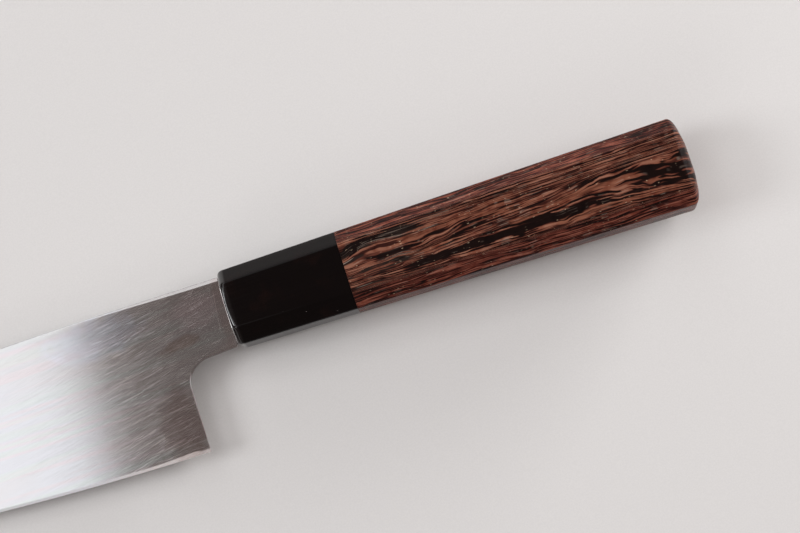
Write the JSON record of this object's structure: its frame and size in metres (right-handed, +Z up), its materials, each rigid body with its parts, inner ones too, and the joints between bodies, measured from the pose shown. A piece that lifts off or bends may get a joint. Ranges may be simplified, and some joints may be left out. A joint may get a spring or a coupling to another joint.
{
  "type": "gyuto knife",
  "caption": "Gyuto chef's knife lying on its side: wedge-ground steel blade with hidden tang, octagonal wooden handle with black ferrule.",
  "frame": {"origin": "middle of the knife's bounding box, on the surface that the knife lies on", "axes": "+X towards the butt of the handle and -X towards the blade's point; +Y towards the spine and -Y towards the cutting edge; +Z up, out of the blade's left cheek"},
  "size_m": [0.3666, 0.0506, 0.0238],
  "materials": {
    "blade_steel": "fine satin with light polishing lines",
    "ferrule_horn": "polished black horn",
    "handle_wenge": "oiled wenge with open pores",
    "dowel_hardwood": "plain sanded hardwood",
    "epoxy": "cured resin",
    "seal_resin": "cured dark red resin"
  },
  "bodies": {
    "root": {"blade": "blade_steel", "ferrule": "ferrule_horn", "handle_body": "handle_wenge", "dowel": "dowel_hardwood", "tang_epoxy": "epoxy", "mouth_seal": "seal_resin"}
  },
  "joints": []
}
